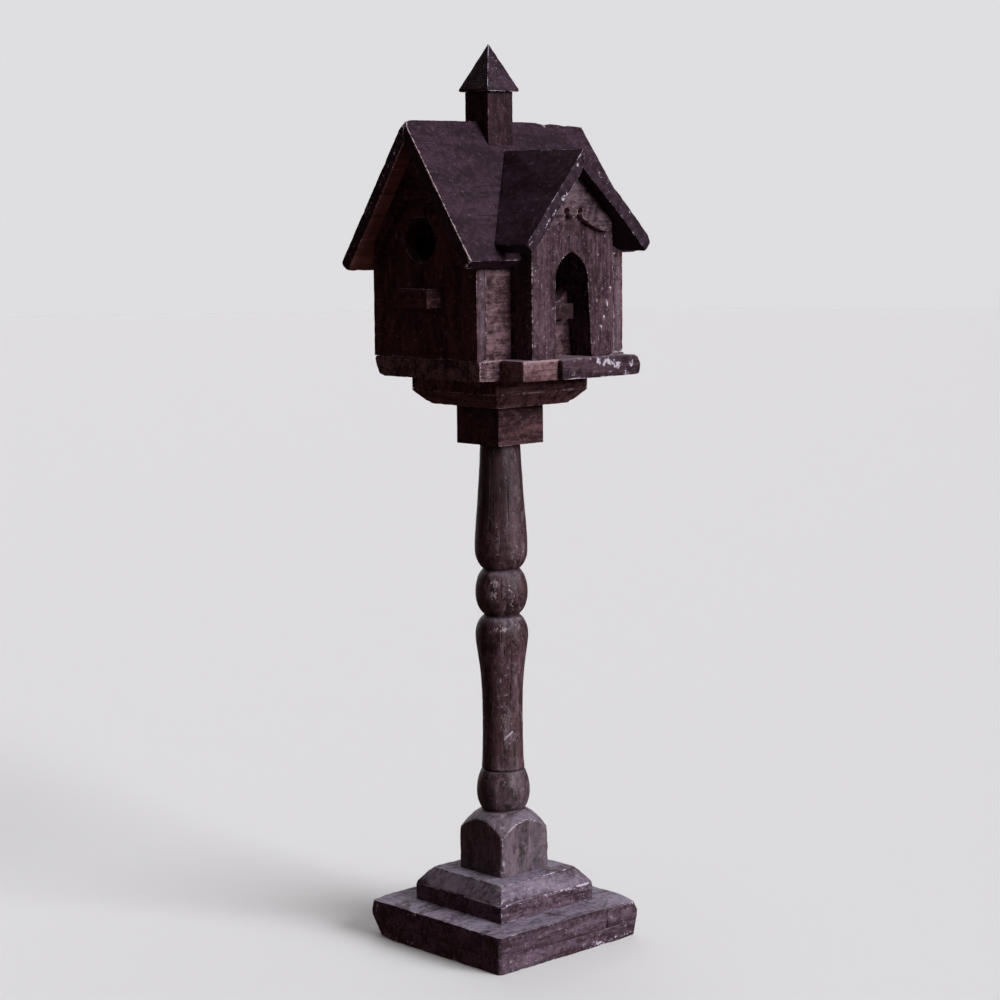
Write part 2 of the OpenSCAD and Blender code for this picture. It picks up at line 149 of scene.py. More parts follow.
class Timber(Graph):
    """Stained wood, laid on coat by coat: self.colour is the colour so far."""

    def __init__(self, name, dark, light, turn, seed, look):
        super().__init__(name)
        self.dark, self.light, self.turn, self.look = dark, light, turn, look
        self.offset = (0.37 * seed, 0.61 * seed, 0.23 * seed)
        self.deep = tuple(0.4 * ((a + b) / 2) for a, b in zip(dark, light))
        self.wear = look["wear"] or tuple(min(1.0, 2.4 * c) for c in light)
        self.even = self.along(1, 1)
        self.fine = self.noise(self.along(22, 620), 1.0, 5.0, 0.62, 0.3)
        self.rings = self.noise(self.along(5, 95), 1.0, 4.0, 0.6, 0.9)
        self.patch = self.noise(self.along(28, 80), 1.0, 6.0, 0.66, 0.6)
        self.cloud = self.noise(self.even, 13.0, 3.0, 0.5, 0.4)
        self.grit = self.noise(self.even, 640.0, 3.0, 0.6)
        self.crumb = self.noise(self.even, 260.0, 4.0, 0.7)
        normal = self.node("ShaderNodeNewGeometry").outputs["Normal"]
        self.up = self.node("ShaderNodeSeparateXYZ", {0: normal}).outputs["Z"]

    def along(self, lengthwise, across, way=0.0):
        """Coordinates scaled along and across the grain; way turns them off it."""
        turn = (self.turn[0], self.turn[1], self.turn[2] + way)
        return self.coords(turn, self.offset, (lengthwise, across, across))

    def mark(self, name):
        """A value that the mesh holds at its points."""
        return self.node("ShaderNodeAttribute", attribute_name=name).outputs["Fac"]

    def cover(self, where, tone, strength=None):
        if strength is not None:
            where = self.math("MULTIPLY", where, strength)
        self.colour = self.mix(where, self.colour, tone)

    def stain(self):
        """Two tones: fibres and rings along the grain, blotches, and thin patches."""
        streak, blotch = self.look["streak"], self.look["blotch"]
        rings = self.math("MULTIPLY", self.rings, 0.45 * streak)
        lined = self.math("MULTIPLY_ADD", self.fine, 0.55 * streak, rings)
        tone = self.math("MULTIPLY_ADD", self.patch, blotch, lined)
        tone = self.math("MULTIPLY_ADD", self.crumb, 0.5, tone)
        middle = 0.5 * (streak + blotch + 0.5)
        spread = 0.07 * (streak + blotch + 0.5)
        toned = self.step(tone, middle - spread, middle + spread)
        self.colour = self.mix(toned, self.dark, self.light)
        self.cover(self.step(self.cloud, 0.5, 0.34), self.deep, 0.4 * blotch)
        thin = self.noise(self.along(60, 170), 1.0, 6.0, 0.72, 0.5)
        self.peeled = self.step(thin, 0.54, 0.59)
        under = self.look["under"] or tuple(1.9 * c for c in self.light)
        self.cover(self.peeled, under, self.look["peel"])

    def cracks(self):
        """Hairline cracks along the grain."""
        split = self.noise(self.along(7, 110), 1.0, 2.0, 0.5, 0.3)
        split = self.math("ABSOLUTE", self.math("SUBTRACT", split, 0.5))
        open_parts = self.step(self.cloud, 0.5, 0.56)
        self.crack = self.math("MULTIPLY", self.step(split, 0.012, 0.004), open_parts)
        self.cover(self.crack, self.deep, 0.85)

    # painted light: faces that look down take a lighter raw-wood tone, standing in for light that
    # hardly reaches them
    def raw_and_painted_light_underside(self, tone):
        raw = self.mix(self.step(self.rings, 0.35, 0.65), tuple(0.4 * c for c in tone), tone)
        self.cover(self.step(self.up, -0.2, -0.4), raw)

    def dust(self, tone):
        """Dust lying on faces that look up, and a haze of it on marked places; on the gable walls'
        front ends that haze is painted light.
        """
        settled = self.math(
            "MULTIPLY_ADD", self.crumb, 0.4, self.math("MULTIPLY", self.patch, 0.6)
        )
        lying = self.math("MULTIPLY", self.step(self.up, 0.25, 0.9), self.step(settled, 0.34, 0.6))
        self.cover(lying, tone, self.look["dust_amount"])
        haze = self.math("MULTIPLY", self.mark("haze"), self.step(settled, 0.3, 0.62))
        self.cover(haze, tuple(0.75 * c for c in tone))

    def pits_and_scratches(self):
        pores = self.noise(self.along(90, 1300), 1.0, 2.0)
        specks = self.step(self.grit, 0.36, 0.3)
        self.pit = self.math("MAXIMUM", self.step(pores, 0.64, 0.72), specks)
        self.cover(self.pit, self.deep, 0.55)
        fleck = self.step(self.grit, 0.61, 0.67)
        fleck = self.math("MULTIPLY", fleck, self.step(self.crumb, 0.5, 0.6))
        self.cover(fleck, self.wear, self.look["speck"])
        for way, scale in ((0.09, 26), (-0.6, 34)):
            line = self.step(self.noise(self.along(scale, 1500, way), 1.0, 2.0), 0.69, 0.74)
            line = self.math("MULTIPLY", line, self.step(self.patch, 0.5, 0.62))
            self.cover(line, self.wear, self.look["scratch"])

    def rubbed_places(self):
        """Flecks that thicken towards the edges, and marked places that are bare, or darker as
        painted shade.
        """
        slope = -1 / self.look["wear_width"]
        close = self.math("MULTIPLY_ADD", self.mark("edge"), slope, 1.0, clamp=True)
        ragged = self.math("MULTIPLY", self.noise(self.even, 60.0, 3.0), 0.5)
        ragged = self.math("MULTIPLY_ADD", self.crumb, 0.45, ragged)
        ragged = self.math("MULTIPLY_ADD", self.grit, 0.25, ragged)
        reach = self.math("MULTIPLY_ADD", close, self.look["wear_level"], ragged)
        torn = self.math("MULTIPLY_ADD", self.grit, 0.8, self.mark("bare"))
        torn = self.step(self.math("MULTIPLY_ADD", self.crumb, 1.2, torn), 1.45, 1.58)
        self.rubbed = self.math("MAXIMUM", self.step(reach, 0.98, 1.05), torn)
        # painted shade: the marked places are darkened where shade falls, in recesses, grooves and
        # under parts
        soot = self.math("MULTIPLY_ADD", self.crumb, 1.2, self.mark("soot"))
        self.cover(self.step(soot, 1.05, 1.3), self.deep, 0.75)
        shaded = tuple(0.72 * c for c in self.wear)
        self.cover(self.rubbed, self.mix(self.step(self.fine, 0.35, 0.65), shaded, self.wear))

    def spots(self, strength):
        cell = self.node(
            "ShaderNodeTexVoronoi", {"Vector": self.even, "Scale": 210.0}, feature="F1"
        ).outputs["Distance"]
        spot = self.math("MULTIPLY", self.step(cell, 0.24, 0.16), self.step(self.cloud, 0.5, 0.56))
        self.cover(spot, self.deep, strength)

    def relief(self):
        """The surface's small heights: grain, grit, pits, cracks and saw marks."""
        streak = self.look["streak"]
        height = self.math("MULTIPLY", self.rings, streak)
        height = self.math("MULTIPLY_ADD", self.fine, 0.6 * streak + 0.2, height)
        height = self.math("MULTIPLY_ADD", self.grit, 0.3, height)
        height = self.math("MULTIPLY_ADD", self.crumb, 0.3, height)
        hollow = self.math("MULTIPLY", self.math("MAXIMUM", self.pit, self.rubbed), 0.35)
        height = self.math("SUBTRACT", height, hollow)
        thin = self.math("MULTIPLY", self.peeled, 0.3 * self.look["peel"])
        height = self.math("SUBTRACT", height, thin)
        height = self.math("SUBTRACT", height, self.crack)
        if self.look["sawn"]:
            teeth = self.noise(self.along(14, 330), 1.0, 2.0, 0.4)
            underside = self.step(self.up, 0.1, -0.3)
            teeth = self.math("MULTIPLY", teeth, underside)
            height = self.math("MULTIPLY_ADD", teeth, self.look["sawn"], height)
        inputs = {"Height": height, "Strength": 0.8 * self.look["bump"], "Distance": 0.0004}
        return self.node("ShaderNodeBump", inputs).outputs[0]

    def close_up(self):
        smooth, coarse = self.look["rough"]
        shine = self.math("MULTIPLY_ADD", self.patch, coarse - smooth, smooth)
        shine = self.math("MULTIPLY_ADD", self.rubbed, 0.12, shine, clamp=True)
        inputs = {"Base Color": self.colour, "Roughness": shine, "Normal": self.relief(),
                  "Specular IOR Level": self.look["gloss"]}
        shader = self.node("ShaderNodeBsdfPrincipled", inputs)
        self.tree.links.new(shader.outputs[0], self.out.inputs["Surface"])


def timber(name, dark, light, grain="x", turn=None, seed=0.0, **look):
    """Stained wood. dark and light are the stain's two tones; look: see TIMBER_LOOK.

    grain: the axis that the fibres run along; turn: a rotation into the board's own axes instead.
    """
    g = Timber(name, dark, light, turn or GRAIN_TURN[grain], seed, {**TIMBER_LOOK, **look})
    g.stain()
    g.cracks()
    if g.look["below"]:
        g.raw_and_painted_light_underside(g.look["below"])
    if g.look["dust"]:
        g.dust(g.look["dust"])
    g.pits_and_scratches()
    g.rubbed_places()
    if g.look["dots"]:
        g.spots(g.look["dots"])
    g.close_up()
    return g.material


# ---------------------------------------------------------------- worn boards


def cad_bmesh(node):
    """A copy of a CAD node's mesh with its flat faces merged."""
    bm = bmesh.new()
    bm.from_mesh(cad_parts[node].data)
    bmesh.ops.remove_doubles(bm, verts=bm.verts, dist=0.01 * MM)
    bmesh.ops.dissolve_limit(
        bm, angle_limit=math.radians(1.0), verts=bm.verts, edges=bm.edges
    )
    return bm


def face_of(node, axis, end):
    """Level in mm of a node's lowest (end 0) or highest (end 1) face along an axis."""
    return round(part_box(node)[end]["xyz".index(axis)] / MM, 2)


def sharp_edges(bm, angle=0.6):
    return [e for e in bm.edges if e.is_manifold and e.calc_face_angle(0) > angle]


def distance_to(segments, points):
    """Distance of each point to the nearest segment."""
    best = np.full(len(points), 1e9)
    for a, b in segments:
        d = b - a
        t = np.clip(((points - a) @ d) / max(d @ d, 1e-12), 0, 1)
        best = np.minimum(best, np.linalg.norm(points - a - t[:, None] * d, axis=1))
    return best


def grid_cuts(bm, cell, turn):
    """Slices the mesh with planes along the board's three axes."""
    axes = [turn @ Vector(v) for v in ((1, 0, 0), (0, 1, 0), (0, 0, 1))]
    for axis in axes:
        reach = [v.co.dot(axis) for v in bm.verts]
        low, high = min(reach), max(reach)
        inner = [low + 2.2 * MM, high - 2.2 * MM]
        count = max(1, int((high - low) / cell))
        cuts = [low + (high - low) * i / count for i in range(1, count)]
        cuts = [c for c in cuts if inner[0] + 0.4 * cell < c < inner[1] - 0.4 * cell]
        if high - low > 6 * MM:
            cuts += inner
        for c in cuts:
            bmesh.ops.bisect_plane(
                bm, geom=bm.verts[:] + bm.edges[:] + bm.faces[:], dist=1e-7,
                plane_co=axis * c, plane_no=axis,
            )


def marks(segments, points):
    """How strongly marked each point is. segments: (start, end, radius, strength), in mm."""
    best = np.zeros(len(points))
    for a, b, radius, strength in segments:
        gap = distance_to([(np.array(a) * MM, np.array(b) * MM)], points) / MM
        best = np.maximum(best, strength * np.clip(1.25 - gap / radius, 0, 1))
    return best


def finish_piece(bm, name, material, node, slot, **values):
    mesh = bpy.data.meshes.new(name)
    bm.to_mesh(mesh)
    bm.free()
    piece = bpy.data.objects.new(name, mesh)
    bpy.context.scene.collection.objects.link(piece)
    for key, numbers in values.items():
        mesh.attributes.new(key, "FLOAT", "POINT").data.foreach_set(
            "value", numbers.astype(np.float32)
        )
    mesh.materials.append(material)
    mesh.shade_smooth()
    mesh.set_sharp_from_angle(angle=math.radians(32))
    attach(piece, "root")
    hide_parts(node)
    return piece


def rounded_board(node, radius, cell, turn, unworn):
    """A CAD board with rounded edges and a fine grid; also its edges and the corners they make."""
    bm = cad_bmesh(node)
    edges = sharp_edges(bm)
    segments = [
        (np.array(e.verts[0].co), np.array(e.verts[1].co))
        for e in edges
        if unworn is None or any(abs(v.co.z / MM - unworn) > 0.1 for v in e.verts)
    ]
    corners = np.array(
        [v.co for v in bm.verts if sum(1 for e in v.link_edges if e in set(edges)) >= 3]
    ).reshape(-1, 3)
    bmesh.ops.bevel(
        bm, geom=edges, offset=radius * MM, offset_type="OFFSET", segments=2, profile=0.6,
        affect="EDGES", clamp_overlap=True,
    )
    bmesh.ops.remove_doubles(bm, verts=bm.verts, dist=0.02 * MM)
    # the bevel can leave a doubled face behind, which hangs free along one edge
    flaps = [f for f in bm.faces if any(len(e.link_faces) == 1 for e in f.edges)]
    bmesh.ops.delete(bm, geom=flaps, context="FACES")
    grid_cuts(bm, cell * MM, turn)
    bm.normal_update()
    return bm, segments, corners


def chip_bites(bm, chips):
    """Centre, radius, depth and inward side of each chip."""
    bites = []
    for x, y, z, r, d in chips:
        centre = Vector((x, y, z))
        facing = sum(
            (v.normal for v in bm.verts if (v.co / MM - centre).length < 0.6 * r), Vector()
        )
        if facing.length:
            bites.append((centre, r, d, facing.normalized()))
    return bites


def worn_depth(at, near, shift, nick, wander):
    """How far a point is worn in, in mm: uneven faces, and a ragged line along the edges."""
    depth = wander * (0.5 + 0.5 * noise.noise(at / 24 + shift))
    share = max(0.0, 1 - near / 1.8)
    if share:
        rough_edge = max(0.0, noise.fractal(at / 3.4 + shift, 0.8, 2.1, 3)) * 0.6
        bite = max(0.0, noise.noise(at / 8 + shift * 2) - 0.42) * 5
        depth += (rough_edge + bite) * nick * share
    return depth


def board(node, material, slot, cell=2.6, turn=None, radius=0.45, nick=0.5, chips=(), seed=0,
          corner=0.0, wander=0.12, bare=(), soot=(), haze=(), warp=None, unworn=None):
    """A worn copy of a CAD board: rubbed edges, small nicks, chips and slightly uneven faces.

    chips: (x, y, z, radius, depth) in mm, bites out of the surface near that point.
    bare, then the shade and haze lists: (start, end, radius, strength) in mm, places with the
    stain gone, darkened as painted shade, or given a dust haze that in places is painted light.
    corner: extra rounding where three edges meet, in mm. warp: a shift in mm for a point in mm.
    unworn: level in mm of a glued face, whose edges keep their stain.
    """
    bm, segments, corners = rounded_board(node, radius, cell, turn or Matrix.Identity(3), unworn)
    points = np.array([v.co for v in bm.verts])
    near = distance_to(segments, points) / MM
    corner_near = (
        np.min(np.linalg.norm(points[:, None] - corners[None], axis=2), axis=1) / MM
        if len(corners)
        else np.full(len(points), 99.0)
    )
    bites = chip_bites(bm, chips)
    shift = Vector((seed * 3.1, seed * 1.7, seed * 2.3))
    moved = []
    for i, v in enumerate(bm.verts):
        at = v.co / MM
        depth = worn_depth(at, near[i], shift, nick, wander)
        if corner:
            depth += corner * max(0.0, 1 - corner_near[i] / (4 * corner)) ** 2
        place = v.co - v.normal * depth * MM
        for centre, r, d, facing in bites:
            gap = (at - centre).length
            if gap < r:
                ragged = 0.8 + 0.4 * noise.noise(at / 3 + shift)
                place -= facing * d * (1 - (gap / r) ** 2) * ragged * MM
        moved.append(place + warp(at) * MM if warp else place)
    for v, co in zip(bm.verts, moved):
        v.co = co
    chipped = [((x, y, z), (x, y, z), 0.75 * r, 0.62) for x, y, z, r, d in chips]
    return finish_piece(
        bm, node + "_worn", material, node, slot, edge=near,
        bare=marks([*bare, *chipped], points), soot=marks(soot, points), haze=marks(haze, points),
    )


# ---------------------------------------------------------------- stains

DUST = srgb(146, 138, 154)
BASE_DARK, BASE_LIGHT = srgb(50, 33, 41), srgb(92, 75, 88)
WALL_DARK, WALL_LIGHT = srgb(40, 18, 23), srgb(88, 62, 70)
ROOF_DARK, ROOF_LIGHT = srgb(30, 14, 25), srgb(53, 35, 48)
POST_DARK, POST_LIGHT = srgb(32, 13, 16), srgb(80, 55, 62)
PALE = srgb(190, 182, 196)
BARE = srgb(158, 132, 138)


def base_wood(name, seed, grain="x", **more):
    settings = dict(wear=PALE, wear_level=0.45, wear_width=1.4, dust=DUST, dust_amount=0.8,
                    speck=0.6, scratch=0.6, blotch=0.6, streak=0.7, bump=1.3, rough=(0.6, 0.85))
    settings.update(more)
    return timber(name, BASE_DARK, BASE_LIGHT, grain, seed=seed, **settings)


def wall_wood(name, seed, grain="x", dark=WALL_DARK, light=WALL_LIGHT, **more):
    settings = dict(wear=BARE, wear_level=0.45, wear_width=1.2, dust=DUST, dust_amount=0.45)
    settings.update(more)
    return timber(name, dark, light, grain, seed=seed, **settings)


def roof_wood(name, seed, turn, **more):
    settings = dict(wear=PALE, wear_level=0.47, wear_width=1.3, speck=0.22, scratch=0.25,
                    blotch=0.45, streak=0.12, peel=0.12, sawn=2.0, bump=0.5, rough=(0.5, 0.7))
    settings.update(more)
    return timber(name, ROOF_DARK, ROOF_LIGHT, "x", turn=turn, seed=seed, **settings)


# ---------------------------------------------------------------- base

# From here on the places of chips, bare spots and the like are in mm, in the frame's axes.
PLINTH, STEP = face_of("plinth_lower_board", "x", 1), face_of("step_board", "x", 1)
GLUE_LINE, PLINTH_TOP = (face_of("plinth_upper_board", "z", end) for end in (0, 1))


def worn_ends(at):
    """The plinth's left corner is rubbed away towards the table, both end corners at the top."""
    far = max(0.0, 1 - math.hypot(at.x + PLINTH, at.y - PLINTH) / 21)
    near = max(0.0, 1 - math.hypot(at.x - PLINTH, at.y + PLINTH) / 22)
    low = max(0.0, 1 - at.z / 14)
    high = max(0.0, (at.z - 17) / 7)
    inward = Vector((1, -1, 0)) * (far * (4.4 * low + 0.8 * high) - near * (1.8 * low + 1.8 * high))
    return inward - Vector((0, 0, 1)) * high * (1.2 * far ** 2 + 2.0 * near ** 2)


board("plinth_lower_board", base_wood("plinth_lower", 1, wear_level=0.48), "base_wood",
      radius=0.9, nick=0.9, corner=0.8, seed=1, cell=3.2, warp=worn_ends, unworn=GLUE_LINE,
      chips=[(-PLINTH, -20, 0, 5, 1.2), (30, -PLINTH, 0, 5, 1.0)],
      bare=[((20, -PLINTH, 3), (62, -PLINTH, 3), 4, 0.45),
            ((-PLINTH, 20, 3), (-PLINTH, 60, 3), 4, 0.4)])
board("plinth_upper_board", base_wood("plinth_upper", 2), "base_wood", radius=1.1, nick=1.1,
      corner=1.0, seed=2, cell=3.2, warp=worn_ends, unworn=GLUE_LINE,
      chips=[(-PLINTH, 18, PLINTH_TOP, 6, 0.9), (-PLINTH, -33, PLINTH_TOP, 5, 0.7),
             (-20, -PLINTH, PLINTH_TOP, 4, 0.6)],
      bare=[((-PLINTH, 56, 14), (-PLINTH, 56, 22), 2.5, 0.5)])
board("plinth_edge_board", base_wood("plinth_edge", 3), "base_wood", radius=1.0, nick=1.0,
      corner=1.0, seed=3, cell=3.2, warp=worn_ends, unworn=GLUE_LINE,
      chips=[(50, -PLINTH, PLINTH_TOP, 4, 0.6)],
      bare=[((PLINTH, -PLINTH, 12), (PLINTH, -PLINTH, 22), 3, 0.5),
            ((36, -PLINTH, PLINTH_TOP), (62, -PLINTH, PLINTH_TOP), 3, 0.4)])
board("step_board", base_wood("step", 4), "base_wood", radius=0.9, nick=0.8, corner=1.0, seed=4,
      chips=[(-STEP, -STEP, 30, 4, 0.8), (-STEP, 12, 34, 4, 0.6)],
      bare=[((-STEP, -STEP, PLINTH_TOP), (-STEP, -STEP, 34), 2.0, 0.5)])
board("bevelled_step_board", base_wood("bevelled_step", 5), "base_wood", radius=0.7, nick=0.7,
      corner=0.7, seed=5, bare=[((-STEP, -STEP, 37), (-33, -33, 45), 4, 0.45)])

# ---------------------------------------------------------------- house support

board("top_block", wall_wood("top_block", 7, dark=srgb(38, 15, 18), light=srgb(84, 58, 63)),
      "wall_wood", radius=0.6, nick=0.6, corner=0.8, seed=7, wander=0.2)
# painted light: the flared and under boards' tones are lightened to stand in for the light that the
# porch floor's overhang keeps off them
board("flared_board", wall_wood("flared", 8, "y", dark=srgb(46, 20, 23), light=srgb(106, 74, 78),
      streak=0.9, sawn=4.0), "wall_wood", radius=0.4, nick=0.8, corner=0.6, seed=8)
board("under_board", wall_wood("under", 9, dark=srgb(54, 26, 29), light=srgb(116, 82, 86)),
      "wall_wood", radius=0.5, nick=0.5, corner=0.6, seed=9)

# ---------------------------------------------------------------- house

HOUSE_LOW, HOUSE_HIGH = (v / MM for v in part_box("floor_board"))
PORCH_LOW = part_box("porch_floor")[0] / MM
WALL_FACE, PLANK_FACE, TRIM_FACE = (
    face_of(node, "y", 0) for node in ("front_wall", "bay_front", "bay_gable_trim")
)
LEFT, FRONT, FLOOR_LOW = HOUSE_LOW
REAR, FLOOR_TOP = HOUSE_HIGH.y, HOUSE_HIGH.z
board("floor_board", wall_wood("floor", 10, light=srgb(116, 92, 98), wear_width=1.6,
      wear_level=0.48), "wall_wood", radius=0.6, nick=0.9, corner=1.0, seed=10, cell=3.0,
      chips=[(LEFT, REAR, FLOOR_LOW, 8, 3.0), (LEFT, FRONT, FLOOR_TOP, 4, 1.0)],
      bare=[((LEFT, FRONT, FLOOR_TOP), (LEFT + 15, FRONT, FLOOR_TOP), 2.2, 0.7),
            ((LEFT, FRONT, FLOOR_LOW), (LEFT, FRONT, FLOOR_TOP), 1.6, 0.6)])
board("porch_floor", wall_wood("porch", 11, dark=srgb(70, 44, 46), light=srgb(120, 94, 98),
      wear_level=0.5), "bare_wood", radius=0.5, nick=0.8, corner=0.6, seed=11,
      bare=[((PORCH_LOW.x, PORCH_LOW.y, FLOOR_TOP), (-18, PORCH_LOW.y, FLOOR_TOP), 2.0, 0.9)])
STRIP_LOW, STRIP_HIGH = (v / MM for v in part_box("doorstep_strip"))
board("doorstep_strip", wall_wood("doorstep", 12, dark=srgb(34, 18, 26), light=srgb(72, 52, 62),
      wear_width=2.2, wear=PALE, wear_level=0.5), "trim_wood",
      cell=2.0, radius=0.9, nick=0.8, corner=1.2, seed=12,
      chips=[(STRIP_HIGH.x, STRIP_LOW.y, STRIP_HIGH.z, 5, 1.6)],
      bare=[((12, STRIP_LOW.y, 381), (30, STRIP_LOW.y, 377), 5.0, 0.5),
            ((38, STRIP_LOW.y, 371), (44, STRIP_LOW.y, 378), 3.5, 0.44)])
# painted shade: the front wall behind the bay's arch is darkened, as the niche lies in shade
board("front_wall", wall_wood("front_wall", 13, light=srgb(112, 86, 93), dots=0.7), "wall_wood",
      cell=4, radius=0.3, seed=13, bare=[((-51, WALL_FACE, 402), (-51, WALL_FACE, 424), 5, 0.3)],
      soot=[((0, WALL_FACE, 388), (0, WALL_FACE, 436), 16, 0.5)])
board("back_wall", wall_wood("back_wall", 14), "wall_wood", cell=4, radius=0.3, seed=14)
# the gable walls, trims and perch blocks take a darker, redder stain than the walls: partly the
# wood's own tone, partly painted shade matched to the left gable, which faces away from the light
GABLE_SHADED_LOOK = dict(dark=srgb(38, 13, 15), light=srgb(84, 51, 57))
for side, seed in (("left", 15), ("right", 16)):
    board(f"{side}_gable_wall", wall_wood(f"{side}_gable", seed, "z", wear=PALE, **GABLE_SHADED_LOOK),
          "wall_wood", cell=3.2, radius=0.4, nick=0.5, seed=seed,
          bare=[((LEFT, FRONT, 384), (LEFT, FRONT, 440), 1.5, 0.5),
                ((LEFT, 49, 384), (LEFT, 49, 435), 1.5, 0.3)],
          # painted light: a dust haze lightens the gable walls' front ends, which face the light, to
          # the look of the lit front wall
          haze=[((-59, FRONT, 384), (-59, FRONT, 440), 3.6, 0.5),
                ((59, FRONT, 384), (59, FRONT, 440), 3.6, 0.6)])
    board(f"{side}_gable_trim", wall_wood(f"{side}_trim", seed + 2, "y", **GABLE_SHADED_LOOK),
          "trim_wood", radius=0.35, nick=0.3, seed=seed + 2, wander=0.05)
    perch_low, perch_high = (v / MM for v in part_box(f"{side}_perch_block"))
    perch_end = ((perch_low.x + perch_high.x) / 2, perch_low.y, (perch_low.z + perch_high.z) / 2)
    board(f"{side}_perch_block", wall_wood(f"{side}_perch", seed + 4, "y", **GABLE_SHADED_LOOK),
          "trim_wood", radius=0.6, nick=0.5, seed=seed + 4, bare=[(perch_end, perch_end, 7, 0.42)])
# painted shade: the plank is darker under the trim's scroll and its point, along its foot, and in an
# upright strip on its left part
board("bay_front", wall_wood("bay_front", 21, "z", dark=srgb(36, 18, 24), light=srgb(79, 56, 66),
      wear=PALE, scratch=0.8, under=srgb(108, 90, 98)), "wall_wood",
      radius=0.35, nick=0.5, seed=21,
      bare=[((22, PLANK_FACE, 394), (29, PLANK_FACE, 411), 2.0, 0.6),
            ((29, PLANK_FACE, 411), (33, PLANK_FACE, 424), 1.7, 0.56),
            ((-35.2, PLANK_FACE, 384), (-35.2, PLANK_FACE, 455), 1.0, 0.5)],
      soot=[((-2, PLANK_FACE, 466), (26, PLANK_FACE, 452), 5, 0.4),
            ((8, PLANK_FACE, 386), (24, PLANK_FACE, 384), 5, 0.4),
            ((-28, PLANK_FACE, 392), (-26, PLANK_FACE, 450), 7, 0.36),
            ((2, PLANK_FACE, 448), (2, PLANK_FACE, 462), 6, 0.3)])
board("bay_gable_trim", wall_wood("bay_trim", 22, "x", dark=srgb(38, 22, 28),
      light=srgb(92, 74, 82), wear_level=0.5, dots=0.5), "trim_wood",
      radius=0.35, nick=0.3, seed=22, wander=0.05,
      bare=[((-6, TRIM_FACE, 474), (-1, TRIM_FACE, 478), 3.0, 0.5),
            ((10, TRIM_FACE, 466), (24, TRIM_FACE, 461), 1.5, 0.5)])
# painted shade: the niche perch block's tones are darker than the other trim, as it sits in the
# shaded niche
board("niche_perch_block", wall_wood("niche_perch", 23, "x", dark=srgb(30, 12, 15),
      light=srgb(44, 26, 31), wear_level=0.3), "trim_wood", radius=0.5, nick=0.4, seed=23)

# ---------------------------------------------------------------- roof

MAIN = math.radians(55)
DORMER = {"left": math.radians(49.6), "right": math.radians(43.2)}
ROOF_LOW, ROOF_HIGH = (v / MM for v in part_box("front_roof_board"))
RAKE, EAVE, RIDGE = ROOF_LOW.x, ROOF_LOW.y, ROOF_HIGH.z
EAVE_TOP = RIDGE + math.tan(MAIN) * EAVE
PORCH_END = face_of("dormer_left_board", "y", 0)


def ridge_sag(at):
    """The ridge drops a little towards its right end."""
    along = max(0.0, (at.x - 20) / 55) ** 1.4
    return Vector((0, 0, -2.6 * along * max(0.0, 1 - abs(at.y) / 30)))


def dormer_skew(at):
    """The porch roof runs back slightly to the left, and its right board swells in the middle."""
    swell = max(0.0, 1 - abs(at.x - 30) / 28)
    return Vector((-0.05 * (at.y - PORCH_END), 0, 1.6 * swell))


board("front_roof_board", roof_wood("front_roof", 24, (-MAIN, 0, 0), wear=srgb(166, 142, 146)),
      "roof_wood", turn=Matrix.Rotation(MAIN, 3, "X"),
      nick=0.9, corner=0.8, seed=24, warp=ridge_sag,
      bare=[((RAKE, 0, RIDGE), (RAKE, EAVE, EAVE_TOP), 1.2, 0.7),
            ((RAKE, 0.93 * EAVE, EAVE_TOP - 3), (RAKE, 0.97 * EAVE, EAVE_TOP - 8), 3, 0.8)],
      chips=[(40, 0, RIDGE - 1, 5, 1.0), (58, 0, RIDGE - 1, 4, 0.8), (RAKE, EAVE, EAVE_TOP, 4, 1.2),
             (RAKE, 0, RIDGE, 6, 1.8)])
# painted light: the board's faces that look down take a bright raw-wood tone, partly bare wood,
# partly standing in for light that doesn't reach the underside
board("back_roof_board",
      roof_wood("back_roof", 25, (MAIN, 0, 0), below=srgb(168, 116, 108), sawn=4.0), "roof_wood",
      turn=Matrix.Rotation(-MAIN, 3, "X"), nick=1.2, corner=0.8, seed=25, warp=ridge_sag,
      chips=[(RAKE, 0, RIDGE, 6, 1.8), (40, 0, RIDGE - 1, 5, 1.0), (58, 0, RIDGE - 1, 4, 0.8)],
      bare=[((RAKE, 4, RIDGE - 12), (RAKE, 54, 446), 5, 0.4),
            ((RAKE, 0, RIDGE), (RAKE, 5, RIDGE - 7), 5, 0.5)])
DORMER_CHIPS = {
    "left": [
        (-20, PORCH_END, 480, 3.2, 0.8), (-27, PORCH_END, 470, 2.8, 0.7),
        (-34, PORCH_END, 465.5, 3, 0.7), (-47, PORCH_END, 453, 4, 0.9),
        (-51, PORCH_END, 449, 4, 1.0), (-8, PORCH_END, 500, 3, 0.5),
    ],
    "right": [(37, PORCH_END, 469.5, 3.0, 0.6), (57.3, PORCH_END, 455, 4.0, 1.4)],
}
DORMER_BARE = {
    "left": [((-14, PORCH_END, 486), (-52, PORCH_END, 447), 2.6, 0.45)],
    "right": [((4, PORCH_END, 500), (55, PORCH_END, 453), 4.0, 0.3)],
}
for side, way, seed in (("left", -1, 26), ("right", 1, 27)):
    angle = way * DORMER[side]
    board(f"dormer_{side}_board", roof_wood(f"dormer_{side}", seed, (0, -angle, math.pi / 2)),
          "roof_wood", turn=Matrix.Rotation(angle, 3, "Y"), nick=0.8, corner=0.7, seed=seed,
          chips=DORMER_CHIPS[side], bare=DORMER_BARE[side], warp=dormer_skew)
board("cupola_tower", wall_wood("cupola_tower", 28, "z", dark=srgb(28, 11, 17),
      light=srgb(60, 37, 46), wear_level=0.38), "roof_wood", cell=2.2, radius=0.4, nick=0.5, seed=28)
